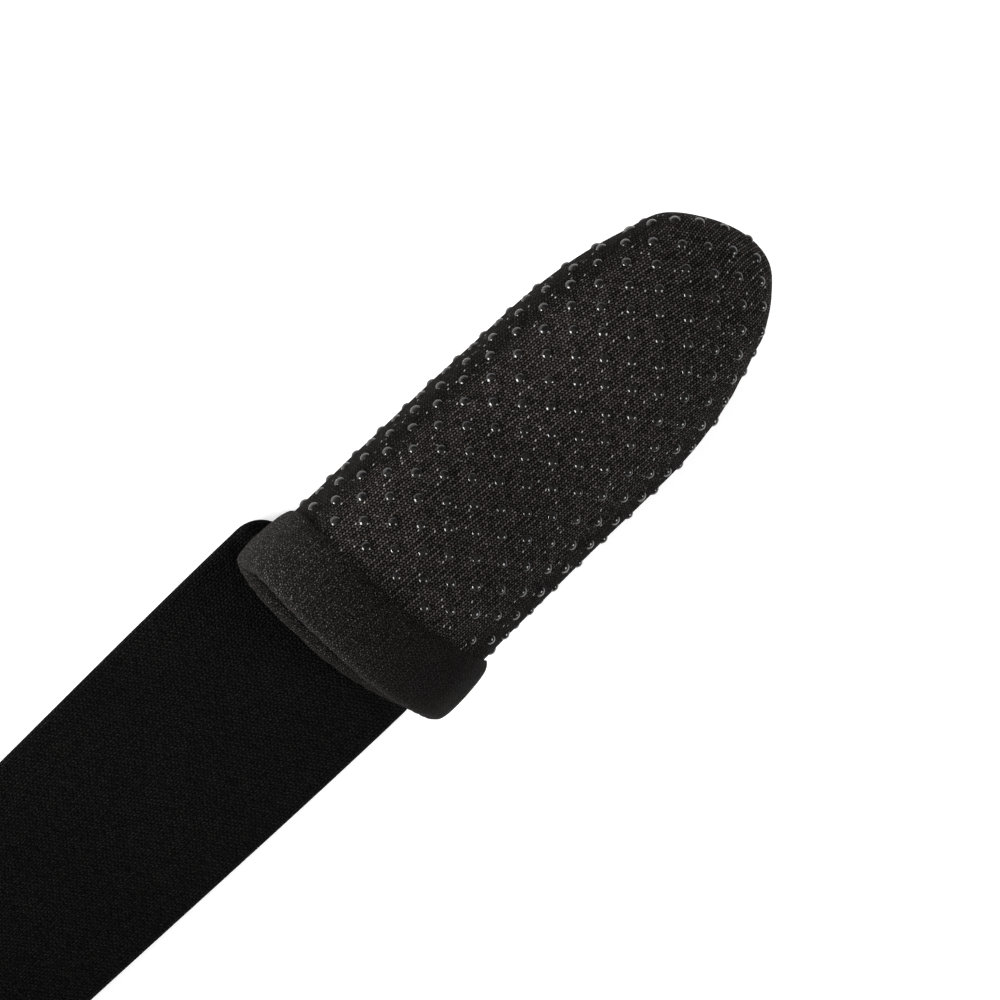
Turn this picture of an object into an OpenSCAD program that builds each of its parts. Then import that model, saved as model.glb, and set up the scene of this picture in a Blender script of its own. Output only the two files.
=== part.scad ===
// Single-finger fishing protector: a knit sleeve with silicone grip dots, a plain cuff round its
// mouth, a strap that runs over the back of the hand, and a wrist band closed by hook and loop.
// It lies on the strap with the palm side up and the fingertip towards +Y. Sizes are millimetres.

/* [Finger sleeve] */
// Length from the fingertip to the edge of the mouth
finger_len = 66; // [58:1:74]
// Width across the knit at the mouth
sleeve_w = 26; // [23:0.2:29]
// Width across the knit where the round tip begins
tip_w = 25.5; // [22:0.1:27]
// Depth of the sleeve from palm side to back at the mouth
sleeve_depth = 18; // [15:0.2:20]
// Depth where the round tip begins
tip_depth = 15.2; // [13:0.2:17]
// Length of the round tip
tip_len = 26.6; // [20:0.2:32]
// Sideways bow of the sleeve towards its seam
bow = 0.65; // [0:0.05:1.5]
// How far the very tip leans towards the seam
tip_lean = 1.8; // [0:0.1:2.6]
// How far the knit bulges at the two corners of the round tip
tip_bulge = 1.1; // [0:0.1:1.6]
// Thickness of the knit
knit_t = 1; // [0.7:0.1:1.3]
// Height of the sewn seam's ridge inside the sleeve
seam_ridge = 1.1; // [0.6:0.1:1.5]
// Depth of the groove that the seam pulls outside
seam_groove = 0.3; // [0.1:0.1:0.4]
// Depth of the puckers that the seam gathers round the tip
pucker_depth = 0.35; // [0:0.05:0.5]

/* [Grip dots] */
// Diameter of one silicone dot
dot_d = 1.2; // [0.9:0.05:1.6]
// Height of one silicone dot
dot_h = 0.3; // [0.2:0.02:0.5]
// Spacing of the dots round the sleeve
dot_pitch_round = 4.62; // [4.2:0.02:5.6]
// Spacing of the dots along the sleeve
dot_pitch_along = 3.96; // [3.4:0.02:4.6]
// Where the first column of dots lies beside the fold
dot_start_round = 4.52; // [0:0.02:5]
// Where the first row of dots lies behind the tip
dot_start_along = 2.14; // [1.5:0.02:4.4]
// How far the middle of each row of dots lies nearer the tip than its ends
dot_bend = 0.86; // [0:0.02:1.5]

/* [Cuff] */
// Width of the cuff on the palm side
cuff_w = 8.7; // [6.5:0.1:9.5]
// How much wider the cuff is at the seam than at the fold
cuff_flare = 1; // [0:0.1:2]
// How far the mouth slants from the fold to the seam
mouth_slant = 3.4; // [0:0.1:4]
// How much further the mouth's middle runs than its sides
mouth_curve = 1.7; // [0:0.1:2.5]
// Thickness of the cuff's outer layer
cuff_t = 0.9; // [0.7:0.1:1.2]
// Extra thickness of the cuff where its ends meet at the seam
cuff_bulge = 0.6; // [0:0.1:1]
// Thickness of the fold at the mouth, below the knit's end
fold_t = 2; // [1.4:0.1:2.6]
// Room between sewn layers
stitch_gap = 0.08; // [0.05:0.01:0.15]

/* [Back strap] */
// Width of the strap
strap_w = 28; // [24:0.5:32]
// Thickness of the strap
strap_t = 1.6; // [1.2:0.1:2]
// Length of the strap between the cuff and the wrist band
strap_free = 102; // [90:1:118]
// Length of the strap under the cuff
strap_lap = 7; // [5:0.5:8]
// How much the strap narrows on each side at its middle
strap_waist = 1.2; // [0:0.1:2]
// Radius of the strap's corners
strap_corner = 4; // [2:0.5:6]

/* [Wrist band] */
// Width of the wrist band
band_w = 38; // [32:1:44]
// Thickness of the wrist band
band_t = 1.8; // [1.4:0.1:2.2]
// Outside width of the closed loop, without the rise of its lap
loop_w = 64; // [58:1:74]
// Inside height of the closed loop at its round sides
loop_inside_h = 24; // [20:1:28]
// Slope of the loop's domed upper side at its ends, in degrees
loop_dome = 16; // [8:1:24]
// Length of the lap where the band's ends overlap
lap_len = 34; // [28:1:40]
// Radius of the corners at the band's ends
band_corner = 7; // [3:0.5:10]
// Length of the loop tape, which runs on past the lap
loop_tape_len = 58; // [50:1:66]
// Thickness of the loop tape
loop_tape_t = 1; // [0.8:0.1:1.2]
// Thickness of the hook tape
hook_tape_t = 1; // [0.8:0.1:1.2]
// Bare margin round each tape
tape_margin = 3; // [2:0.5:5]

/* [Hidden] */

round_pts = 60;              // points round the sleeve and the cuff
edge_pts = 6;                // steps round the edge of a strap
palm_share = 0.57;           // share of the sleeve's depth above its widest line
fold_corner = 7;             // where the fold ends behind the tip
seam_reach = 9;              // half width of the seam in degrees round the sleeve
seam_clear = 1.7;            // bare strip between the seam and the nearest dot
floor_clear = 0.15;          // gap between the lowest dots and the floor
ramp_len = 20;               // length over which the sleeve sinks from the cuff to the floor
lean_len = 6;                // length over which the tip's lean fades
bulge_at = 5;                // where the round tip's corners bulge, behind the tip
bulge_len = 3.1;             // length over which the bulges fade
bow_len = 0.75 * finger_len; // length of the bowed part
cap_power = 2.05;            // bluntness of the tip
side_power = 2.45;           // fullness of the section's palm side
back_power = 2.7;            // fullness of the section's back
pucker_len = 3.4;            // distance between the puckers along the seam
pucker_reach = 20;           // half width of the puckers in degrees round the sleeve
cuff_edge = 0.35;            // rounding of the cuff's edges
tape_corner = 2;             // rounding of the corners of the tapes
dot_clear = 0.4;             // bare strip between the cuff and the nearest dot
drawn_reach = 12.9;          // length over which the knit was drawn together round the tip
drawn_round = 4.17;          // how far the dots are drawn towards the fold there
drawn_back = 0.76;           // how far they are drawn towards the tip there
row_tilt = 1.49;             // how far the ends of a row of dots are tilted there
row_spread = 0.95;           // how far the ends of a row of dots are spread there
half_row = 17;               // half the length of a row of dots
tip_spare = 0.05;            // nearest that a dot comes to the very tip
lining_share = 0.7;          // share of the cuff's width that its inner turning covers

total_len = finger_len + strap_free + band_w;
tip_y = total_len / 2;
mouth_y = tip_y - finger_len;
band_y = -total_len / 2;
seat_z = strap_t + cuff_t + 2 * stitch_gap;
low_z = dot_h + floor_clear;
sleeve_end = finger_len - fold_t;
cuff_reach = cuff_w + cuff_flare / 2 + mouth_slant / 2 + mouth_curve;

function clamp01(x) = min(max(x, 0), 1);
function smooth(x) = let (k = clamp01(x)) k * k * (3 - 2 * k);
function spow(x, p) = sign(x) * pow(abs(x), p);
function turn(a) = a > 180 ? a - 360 : a;
function unit(v) = v / norm(v);
function running(list, i = 0, sum = 0) =
    i >= len(list) ? [] : concat([sum + list[i]], running(list, i + 1, sum + list[i]));

// The sleeve's size at distance d behind the tip, before the round tip is taken off.
function along(d) = clamp01((d - tip_len) / (finger_len - tip_len));
function half_w(d) = (tip_w + (sleeve_w - tip_w) * along(d)) / 2;
function depth(d) = tip_depth + (sleeve_depth - tip_depth) * along(d);
function under_z(d) =
    low_z + (seat_z - low_z) * smooth((d - (finger_len - cuff_reach - ramp_len)) / ramp_len);
function wide_z(d) = under_z(d) + (1 - palm_share) * depth(d);
function centre_x(d) =
    bow * sin(180 * clamp01(d / bow_len)) + tip_lean * pow(1 - clamp01(d / lean_len), 2);
function bulge(d) = tip_bulge * exp(-pow((d - bulge_at) / bulge_len, 2));
function cap(d, reach) = pow(1 - pow(1 - clamp01(d / reach), cap_power), 1 / cap_power);

// The seam runs up the +X side and over the tip as far as the fold's corner, and gathers the
// knit beside it in small puckers round the tip.
function seam_at(d, a) =
    exp(-pow(turn(a) / seam_reach, 2))
    + smooth((fold_corner - d) / 3) * exp(-pow((a - 180) / seam_reach, 2));
function puckers(d, a) =
    pucker_depth * smooth((tip_len - d) / tip_len) * exp(-pow(turn(a) / pucker_reach, 2))
    * (1 - cos(360 * d / pucker_len)) / 2;

// A point of the sleeve's wall: a turns round the section from the seam over the palm side, and
// inset is 0 on the outside and knit_t on the inside.
function wall_point(d, a, inset = 0) =
    let (c = cap(d - inset, tip_len - inset),
         pull = inset > 0 ? seam_ridge * seam_at(d, a) : seam_groove * seam_at(d, a) + puckers(d, a),
         wide = (half_w(d) + bulge(d) - inset - pull) * c,
         rise = sin(a) >= 0 ? palm_share * depth(d) - inset : (1 - palm_share) * depth(d) - inset,
         power = sin(a) >= 0 ? side_power : back_power)
    [centre_x(d) + wide * spow(cos(a), 2 / side_power),
     tip_y - d,
     wide_z(d) + rise * c * spow(sin(a), 2 / power)];

// Near the mouth the section slants, so that the seam side is the shortest.
function mouth_at(a) = finger_len - mouth_slant / 2 * cos(a) - mouth_curve * pow(cos(a), 2);
function slant(d, a) = (mouth_at(a) - finger_len) * smooth(1 - (sleeve_end - d) / cuff_reach);
function wall_ring(d, inset = 0) =
    [for (i = [0 : round_pts - 1])
        let (a = 360 * i / round_pts)
        wall_point(d + slant(d, a), a, inset)];

function outward(d, a) =
    unit(cross(wall_point(d, a + 1) - wall_point(d, a - 1),
               wall_point(d + 0.05, a) - wall_point(d - 0.05, a)));

// Joins rings of points into one solid. A ring list closes on itself, or ends in two poles.
module skin(rings, poles = []) {
    n = len(rings[0]);
    r = len(rings);
    last = len(poles) == 0 ? r - 1 : r - 2;
    sides = [for (i = [0 : last], k = [0 : n - 1])
        let (a = i * n, b = ((i + 1) % r) * n, m = (k + 1) % n)
        each [[a + k, b + k, b + m], [a + k, b + m, a + m]]];
    ends = len(poles) == 0 ? [] : [for (k = [0 : n - 1])
        let (m = (k + 1) % n, z = (r - 1) * n)
        each [[r * n, k, m], [r * n + 1, z + m, z + k]]];
    polyhedron(points = concat([for (ring = rings) each ring], poles),
               faces = concat(sides, ends), convexity = 6);
}

module finger_sleeve() {
    tip_rings = 12;
    body_rings = 12;
    inner_tip_rings = 8;
    inner_body_rings = 7;
    outer = concat(
        [for (i = [1 : tip_rings]) tip_len * (1 - cos(90 * i / tip_rings))],
        [for (i = [1 : body_rings]) tip_len + (sleeve_end - tip_len) * i / body_rings]);
    inner = concat(
        [for (i = [inner_body_rings : -1 : 1])
            tip_len + (sleeve_end - tip_len) * i / inner_body_rings],
        [for (i = [inner_tip_rings : -1 : 1])
            knit_t + (tip_len - knit_t) * (1 - cos(90 * i / inner_tip_rings))]);
    color([0.06, 0.06, 0.065])
        skin(concat([for (d = outer) wall_ring(d)], [for (d = inner) wall_ring(d, knit_t)]),
             [wall_point(0, 90), wall_point(knit_t, 90, knit_t)]);
}

// How far round the section each point lies from the fold, over the palm side or the back.
arc_step = 3;
function arc_angles(side) = [for (k = [0 : 180 / arc_step]) 180 - side * k * arc_step];
function arc_lengths(d, side) =
    let (a = arc_angles(side))
    concat([0], running([for (k = [1 : len(a) - 1])
        norm(wall_point(d, a[k]) - wall_point(d, a[k - 1]))]));
function angle_at(lengths, side, u) =
    180 - side * lookup(u, [for (k = [0 : len(lengths) - 1]) [lengths[k], k * arc_step]]);

// Distances behind the tip, and how far the palm line runs from the tip to each of them.
line_step = 0.25;
line_d = [for (k = [0 : floor(sleeve_end / line_step)]) k * line_step];
line_run = concat([0], running([for (k = [1 : len(line_d) - 1])
    norm(wall_point(line_d[k], 90) - wall_point(line_d[k - 1], 90))]));
line_table = [for (k = [0 : len(line_d) - 1]) [line_run[k], line_d[k]]];

// The fold is straight, and past its corner the round tip cuts into the rows of dots.
function fold_x(d) =
    let (corner_x = wall_point(fold_corner, 180)[0], mouth_x = wall_point(sleeve_end, 180)[0])
    corner_x + (mouth_x - corner_x) * (d - fold_corner) / (sleeve_end - fold_corner);
function cut_off(d) = max(0, wall_point(d, 180)[0] - fold_x(d));
function cuff_top(a) = cuff_w + cuff_flare / 2 * cos(a);

// One entry for each dot: its distance behind the tip and its angle round the sleeve. Each row
// is bowed towards the tip, and near the tip the rows follow the knit that was drawn together.
dot_rows = floor((line_run[len(line_run) - 1] - dot_start_along) / (dot_pitch_along / 2));
dots_round = ceil(2 * half_row / dot_pitch_round) + 1;
function row_bow(d, a) = dot_bend * clamp01(2 * d / tip_len) * (pow(sin(a), 2) - 0.5);
dot_spots = [for (j = [0 : dot_rows], side = [1, -1], i = [-1 : dots_round])
    let (w = dot_start_along + j * dot_pitch_along / 2,
         u = i * dot_pitch_round + side * ((j % 2) * dot_pitch_round / 2 + dot_start_round),
         near = exp(-pow(w / drawn_reach, 2)),
         across = u / half_row - 1,
         row_d = lookup(w - near * (drawn_back + row_tilt * across), line_table),
         lengths = arc_lengths(row_d, side),
         run = u - cut_off(row_d) - near * (drawn_round - row_spread * across),
         a = angle_at(lengths, side, run),
         d = max(row_d - row_bow(row_d, a), tip_spare),
         spare = d < fold_corner ? seam_clear : 0)
    if (u > 0 && run >= spare && run <= lengths[len(lengths) - 1] - seam_clear
        && mouth_at(a) - d > cuff_top(a) + dot_d / 2 + dot_clear)
        [d, a]];

module dot() {
    ball_r = (dot_d * dot_d / 4 + dot_h * dot_h) / (2 * dot_h);
    intersection() {
        translate([0, 0, dot_h - ball_r]) sphere(r = ball_r, $fn = 24);
        translate([-dot_d, -dot_d, 0]) cube([2 * dot_d, 2 * dot_d, dot_h * 2]);
    }
}

module grip_dots() {
    color([0.03, 0.03, 0.032])
        for (spot = dot_spots)
            let (p = wall_point(spot[0], spot[1]), n = outward(spot[0], spot[1]))
                translate(p) rotate([0, acos(n[2]), atan2(n[1], n[0])]) dot();
}

// A point of the cuff: v is measured up from the mouth, and off outwards from the knit's surface.
function cuff_point(v, off, a) =
    let (d = mouth_at(a) - v,
         t = wall_point(d, a + 1) - wall_point(d, a - 1),
         n = unit([t[2], 0, -t[0]]))
    wall_point(d, a) + off * n;

// The cuff is one strip, turned in round the knit's end and sewn down outside and inside.
module cuff() {
    slices = [for (i = [0 : round_pts - 1])
        let (a = 360 * i / round_pts,
             top = cuff_top(a),
             lining = lining_share * top,
             out = stitch_gap + cuff_t,
             full = out + cuff_bulge * pow(max(cos(a), 0), 3),
             knit_in = -knit_t - stitch_gap - seam_ridge * seam_at(finger_len, a),
             in = knit_in - cuff_t)
        [for (p = [
            [fold_t - stitch_gap, knit_in],
            [lining - cuff_edge, knit_in],
            [lining, in + cuff_t / 2],
            [lining - cuff_edge, in],
            [cuff_edge * 3, in],
            [cuff_edge, in + cuff_edge],
            [0, in + cuff_t],
            [0, out - cuff_t],
            [cuff_edge, out - cuff_edge],
            [cuff_edge * 3, full - cuff_edge / 2],
            [top * 0.4, full],
            [top * 0.75, full],
            [top - cuff_edge, (out + full) / 2],
            [top, stitch_gap + cuff_t / 2],
            [top - cuff_edge, stitch_gap],
            [fold_t - stitch_gap, stitch_gap]])
            cuff_point(p[0], p[1], a)]];
    color([0.05, 0.05, 0.05]) skin(slices);
}

// Section of a flat strip with round edges: u runs across it and w through its thickness.
function strip_section(half, t) =
    [for (side = [1, -1], k = [0 : edge_pts])
        let (b = -90 + 180 * k / edge_pts)
        [side * (half - t / 2 + t / 2 * cos(b)), t / 2 * (1 + side * sin(b))]];

// How far a corner of radius r takes the edge in at distance s from the end.
function corner_in(s, r) = s >= r ? 0 : r - sqrt(r * r - pow(r - s, 2));

// A strip swept along stations of [middle of its inner face, direction through its thickness,
// distance to the nearer end, narrowing]. Its corners are round and its ends thin to an edge.
module strip(stations, across, width, t, corner) {
    rings = [for (st = stations)
        let (half = width / 2 - st[3] - corner_in(st[2], corner),
             thin = t - 1.4 * corner_in(st[2], t / 2))
        [for (q = strip_section(half, thin))
            st[0] + across * q[0] + st[1] * (q[1] + (t - thin) / 2)]];
    skin(rings, [for (st = [stations[0], stations[len(stations) - 1]]) st[0] + st[1] * t / 2]);
}

// Distances along a strip: close together where its corners are, and on a grid between them.
function corner_steps(corner) = [for (k = [0 : 6]) corner * (1 - cos(15 * k))];
function strip_run(from, to, corner, grid) =
    concat([for (c = corner_steps(corner)) from + c],
           [for (g = grid) if (g > from + corner + 0.3 && g < to - corner - 0.3) g],
           [for (k = [6 : -1 : 0]) to - corner_steps(corner)[k]]);

// The strap narrows smoothly between the cuff and the wrist band.
module back_strap() {
    end_y = mouth_y + strap_lap;
    length = end_y - band_y - tape_margin;
    grid = [for (k = [1 : 20]) length * k / 21];
    stations = [for (r = strip_run(0, length, strap_corner, grid))
        [[0, end_y - r, 0], [0, 0, 1], min(r, length - r),
         strap_waist * pow(sin(180 * r / length), 2)]];
    color([0.05, 0.05, 0.05]) strip(stations, [1, 0, 0], strap_w, strap_t, strap_corner);
}

// The wrist band's inner face, as [x, z] at distance s from the middle of its flat lower side.
// Two round sides follow, joined over the top by a shallow arc.
flat = loop_w - loop_inside_h - 2 * band_t;
side_r = loop_inside_h / 2;
side_len = side_r * (180 - loop_dome) * PI / 180;
top_r = side_r + flat / (2 * sin(loop_dome));
top_z = side_r * (1 + cos(loop_dome)) - top_r * cos(loop_dome);
top_len = top_r * 2 * loop_dome * PI / 180;
loop_len = flat + 2 * side_len + top_len;
function on_arc(middle, r, from, run) =
    let (b = from + run / r * 180 / PI) middle + r * [cos(b), sin(b)];
function loop_at(s) =
    let (t = s % loop_len - flat / 2, u = t - side_len, v = u - top_len, w = v - side_len)
    t < 0 ? [t + flat / 2, 0]
    : u < 0 ? on_arc([flat / 2, side_r], side_r, -90, t)
    : v < 0 ? on_arc([0, top_z], top_r, 90 - loop_dome, u)
    : w < 0 ? on_arc([-flat / 2, side_r], side_r, 90 + loop_dome, v)
    : [w - flat / 2, 0];
function loop_out(s) = let (t = unit(loop_at(s + 0.1) - loop_at(s - 0.1))) [t[1], -t[0]];

// The band is one strip. Its inner end starts under the lap, and its outer end, which carries
// the hook tape, climbs over the right side on to the loop tape.
lap_start = flat / 2 + side_len + top_len / 2 - lap_len / 2;
lap_end = loop_len + lap_start + lap_len;
lap_lift = band_t + loop_tape_t + hook_tape_t + 3 * stitch_gap;
climb_len = min(side_len, lap_start - flat / 2 - 2);
band_grid = [for (k = [1 : 62]) lap_start + (lap_end - lap_start) * k / 63];
function lift(s) = lap_lift * smooth((s - loop_len - flat / 2) / climb_len);
function band_at(s, off) = loop_at(s) + loop_out(s) * (off + lift(s));
tape_from = lap_start + tape_margin;
function outer_off(s) =
    band_t + (s > tape_from && s < tape_from + loop_tape_len ? stitch_gap + loop_tape_t : 0);
band_x = [for (s = band_grid) band_at(s, outer_off(s))[0]];
band_shift = -(max(band_x) + min(band_x)) / 2;

module band_strip(from, to, off, width, t, corner) {
    mid_y = band_y + band_w / 2;
    stations = [for (s = strip_run(from, to, corner, band_grid))
        let (p = band_at(s, off), n = loop_out(s))
        [[p[0] + band_shift, mid_y, p[1] + strap_t + stitch_gap + band_t],
         [n[0], 0, n[1]], min(s - from, to - s), 0]];
    strip(stations, [0, -1, 0], width, t, corner);
}

module wrist_band() {
    color([0.05, 0.05, 0.055]) band_strip(lap_start, lap_end, 0, band_w, band_t, band_corner);
}

module loop_tape() {
    color([0.08, 0.08, 0.08])
        band_strip(tape_from, tape_from + loop_tape_len, band_t + stitch_gap, band_w - 2 * tape_margin,
                   loop_tape_t, tape_corner);
}

module hook_tape() {
    to = lap_end - tape_margin;
    color([0.04, 0.04, 0.04])
        band_strip(to - lap_len + 2 * tape_margin, to, -hook_tape_t - stitch_gap,
                   band_w - 2 * tape_margin, hook_tape_t, tape_corner);
}

finger_sleeve();
grip_dots();
cuff();
back_strap();
wrist_band();
loop_tape();
hook_tape();
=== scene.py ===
import math

import bpy
import numpy as np
from mathutils import Matrix, Vector


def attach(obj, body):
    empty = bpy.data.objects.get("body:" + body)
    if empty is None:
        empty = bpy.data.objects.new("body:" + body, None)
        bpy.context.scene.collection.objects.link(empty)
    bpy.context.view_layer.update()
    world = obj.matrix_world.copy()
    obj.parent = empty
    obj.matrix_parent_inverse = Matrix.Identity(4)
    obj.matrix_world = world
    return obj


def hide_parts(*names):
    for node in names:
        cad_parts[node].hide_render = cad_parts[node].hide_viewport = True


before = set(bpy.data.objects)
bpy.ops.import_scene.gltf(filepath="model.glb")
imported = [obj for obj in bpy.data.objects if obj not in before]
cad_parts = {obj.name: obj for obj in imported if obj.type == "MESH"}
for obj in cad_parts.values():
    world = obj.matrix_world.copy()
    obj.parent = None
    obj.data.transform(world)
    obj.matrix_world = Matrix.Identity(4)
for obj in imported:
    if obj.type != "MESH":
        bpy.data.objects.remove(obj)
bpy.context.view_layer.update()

MM = 0.001
rng = np.random.default_rng(7)

# Sizes in millimetres, the same as the part's source has
FINGER_LEN, STRAP_FREE, BAND_W = 66.0, 102.0, 38.0
SLEEVE_W, TIP_W = 26.0, 25.5
SLEEVE_DEPTH, TIP_DEPTH = 18.0, 15.2
TIP_LEN, BOW, TIP_LEAN = 26.6, 0.65, 1.8
TIP_BULGE, BULGE_AT, BULGE_LEN = 1.1, 5.0, 3.1
KNIT_T, SEAM_RIDGE, SEAM_GROOVE = 1.0, 1.1, 0.3
PUCKER_DEPTH, PUCKER_LEN, PUCKER_REACH = 0.35, 3.4, 20.0
DOT_D, DOT_H = 1.2, 0.3
DOT_PITCH_ROUND, DOT_PITCH_ALONG = 4.62, 3.96
DOT_START_ROUND, DOT_START_ALONG, DOT_BEND = 4.52, 2.14, 0.86
CUFF_W, CUFF_FLARE, CUFF_T, CUFF_BULGE = 8.7, 1.0, 0.9, 0.6
MOUTH_SLANT, MOUTH_CURVE, FOLD_T, STITCH_GAP = 3.4, 1.7, 2.0, 0.08
STRAP_W, STRAP_T, STRAP_LAP, STRAP_WAIST, STRAP_CORNER = 28.0, 1.6, 7.0, 1.2, 4.0
BAND_T, LOOP_W, LOOP_INSIDE_H, LOOP_DOME = 1.8, 64.0, 24.0, math.radians(16)
LAP_LEN, BAND_CORNER, LOOP_TAPE_LEN = 34.0, 7.0, 58.0
LOOP_TAPE_T, HOOK_TAPE_T, TAPE_MARGIN, TAPE_CORNER = 1.0, 1.0, 3.0, 2.0
PALM_SHARE, FOLD_CORNER, SEAM_REACH, SEAM_FADE, SEAM_CLEAR = 0.57, 7.0, 9.0, 3.0, 1.7
FLOOR_CLEAR, RAMP_LEN, LEAN_LEN, BOW_LEN = 0.15, 20.0, 6.0, 0.75 * FINGER_LEN
CAP_POWER, SIDE_POWER, BACK_POWER = 2.05, 2.45, 2.7
DOT_CLEAR, LINING_SHARE = 0.4, 0.7
DRAWN_REACH, DRAWN_ROUND, DRAWN_BACK = 12.9, 4.17, 0.76
ROW_TILT, ROW_SPREAD, HALF_ROW = 1.49, 0.95, 17.0

TIP_Y = (FINGER_LEN + STRAP_FREE + BAND_W) / 2
MOUTH_Y = TIP_Y - FINGER_LEN
BAND_Y = -TIP_Y
SEAT_Z = STRAP_T + CUFF_T + 2 * STITCH_GAP
LOW_Z = DOT_H + FLOOR_CLEAR
SLEEVE_END = FINGER_LEN - FOLD_T
CUFF_REACH = CUFF_W + CUFF_FLARE / 2 + MOUTH_SLANT / 2 + MOUTH_CURVE

# How finely the finished pieces are drawn, as counts
SLEEVE_SIDES, TIP_RINGS, BODY_RINGS = 240, 46, 84
LINING_TIP_RINGS, LINING_BODY_RINGS = 14, 24
DOT_SIDES, CUFF_SLICES, THREAD_SIDES = 14, 260, 6
STRIP_FLAT_POINTS, STRIP_EDGE_POINTS, STRIP_BEND_STEPS = 26, 9, 12

# What only the finished pieces have, in millimetres
SEWN_DEPTH, SEWN_REACH = 0.22, 4.0
SKIRT_FLARE, SKIRT_DEPTH = 0.05, 0.12
CUFF_EDGE, STRIP_STEP, STRIP_TRIM = 0.35, 1.0, 0.004
CUFF_WAVE, CUFF_RIPPLE, CUFF_SWELL, MOUTH_WAVE = 0.10, 0.06, 0.05, 0.07
THREAD_R, STITCH_PITCH = 0.17, 2.2
ROW_DIP_WIDTH, ROW_DIP_DEPTH = 0.8, 0.22


# Shape of the sleeve's wall: d is the distance behind the tip and a the angle round the section,
# from the seam over the palm side
def ease(x):
    k = np.clip(x, 0.0, 1.0)
    return k * k * (3 - 2 * k)


def spow(x, p):
    return np.sign(x) * np.abs(x) ** p


def cosd(a):
    return np.cos(np.radians(a))


def sind(a):
    return np.sin(np.radians(a))


def from_seam(a):
    return (np.asarray(a, float) + 180.0) % 360.0 - 180.0


def depth_at(d):
    k = np.clip((d - TIP_LEN) / (FINGER_LEN - TIP_LEN), 0.0, 1.0)
    return TIP_DEPTH + (SLEEVE_DEPTH - TIP_DEPTH) * k


def half_width_at(d):
    k = np.clip((d - TIP_LEN) / (FINGER_LEN - TIP_LEN), 0.0, 1.0)
    return (TIP_W + (SLEEVE_W - TIP_W) * k) / 2


def widest_z(d):
    under = LOW_Z + (SEAT_Z - LOW_Z) * ease((d - (FINGER_LEN - CUFF_REACH - RAMP_LEN)) / RAMP_LEN)
    return under + (1 - PALM_SHARE) * depth_at(d)


def middle_x(d):
    lean = TIP_LEAN * (1 - np.clip(d / LEAN_LEN, 0.0, 1.0)) ** 2
    return BOW * sind(180 * np.clip(d / BOW_LEN, 0.0, 1.0)) + lean


def seam_line(d, a, reach):
    """1 on the seam, which runs down the side and over the tip, and 0 away from it."""
    over_tip = ease((FOLD_CORNER - d) / SEAM_FADE) * np.exp(-(((a - 180) / reach) ** 2))
    return np.exp(-((from_seam(a) / reach) ** 2)) + over_tip


def puckers(d, a):
    near = np.exp(-((from_seam(a) / PUCKER_REACH) ** 2))
    return PUCKER_DEPTH * ease((TIP_LEN - d) / TIP_LEN) * near * (1 - cosd(360 * d / PUCKER_LEN)) / 2


def wall(d, a, inset=0.0):
    d, a = np.broadcast_arrays(np.asarray(d, float), np.asarray(a, float))
    reach = TIP_LEN - inset
    cap = (1 - (1 - np.clip((d - inset) / reach, 0.0, 1.0)) ** CAP_POWER) ** (1 / CAP_POWER)
    if inset > 0:
        pull = SEAM_RIDGE * seam_line(d, a, SEAM_REACH)
    else:
        pull = SEAM_GROOVE * seam_line(d, a, SEAM_REACH) + puckers(d, a)
    bulge = TIP_BULGE * np.exp(-(((d - BULGE_AT) / BULGE_LEN) ** 2))
    wide = (half_width_at(d) + bulge - inset - pull) * cap
    up = sind(a) >= 0
    rise = np.where(up, PALM_SHARE, 1 - PALM_SHARE) * depth_at(d) - inset
    x = middle_x(d) + wide * spow(cosd(a), 2 / SIDE_POWER)
    z = widest_z(d) + rise * cap * spow(sind(a), 2 / np.where(up, SIDE_POWER, BACK_POWER))
    return np.stack([x, TIP_Y - d, z], -1)


def outward(d, a):
    nudge = 0.05
    round_it = wall(d, a + 1) - wall(d, a - 1)
    down_it = wall(d + nudge, a) - wall(d - nudge, a)
    n = np.cross(round_it, down_it)
    return n / np.linalg.norm(n, axis=-1, keepdims=True)


def running(steps, axis=0):
    start = np.zeros_like(np.take(steps, [0], axis))
    return np.concatenate([start, np.cumsum(steps, axis)], axis)


def gaps(points, axis=0):
    return np.linalg.norm(np.diff(points, axis=axis), axis=-1)


# The line down the middle of the palm side, and how far along the cloth each of its points lies
LINE_STEP = 0.25
LINE_D = np.arange(0, int(SLEEVE_END / LINE_STEP) + 1) * LINE_STEP
LINE_RUN = running(gaps(wall(LINE_D, 90.0)))


def fold_x(d):
    corner, mouth = wall(FOLD_CORNER, 180.0)[0], wall(SLEEVE_END, 180.0)[0]
    return corner + (mouth - corner) * (d - FOLD_CORNER) / (SLEEVE_END - FOLD_CORNER)


def cut_off(d):
    """How much of the flat cloth's straight fold is cut away at the rounded tip."""
    return np.maximum(0.0, wall(d, 180.0)[..., 0] - fold_x(d))


def mouth_at(a):
    return FINGER_LEN - MOUTH_SLANT / 2 * cosd(a) - MOUTH_CURVE * cosd(a) ** 2


def cuff_top(a):
    return CUFF_W + CUFF_FLARE / 2 * cosd(a)


# Meshes
def make(name, points, faces, uvs=None):
    """A closed mesh from points in millimetres. uvs holds one pair for each corner of each face."""
    mesh = bpy.data.meshes.new(name)
    mesh.from_pydata((np.asarray(points, float) * MM).tolist(), [], [list(map(int, f)) for f in faces])
    if uvs is not None:
        layer = mesh.uv_layers.new(name="cloth")
        layer.data.foreach_set("uv", np.asarray(uvs, np.float32).ravel())
    mesh.polygons.foreach_set("use_smooth", [True] * len(mesh.polygons))
    mesh.update()
    piece = bpy.data.objects.new(name, mesh)
    bpy.context.scene.collection.objects.link(piece)
    return piece


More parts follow.
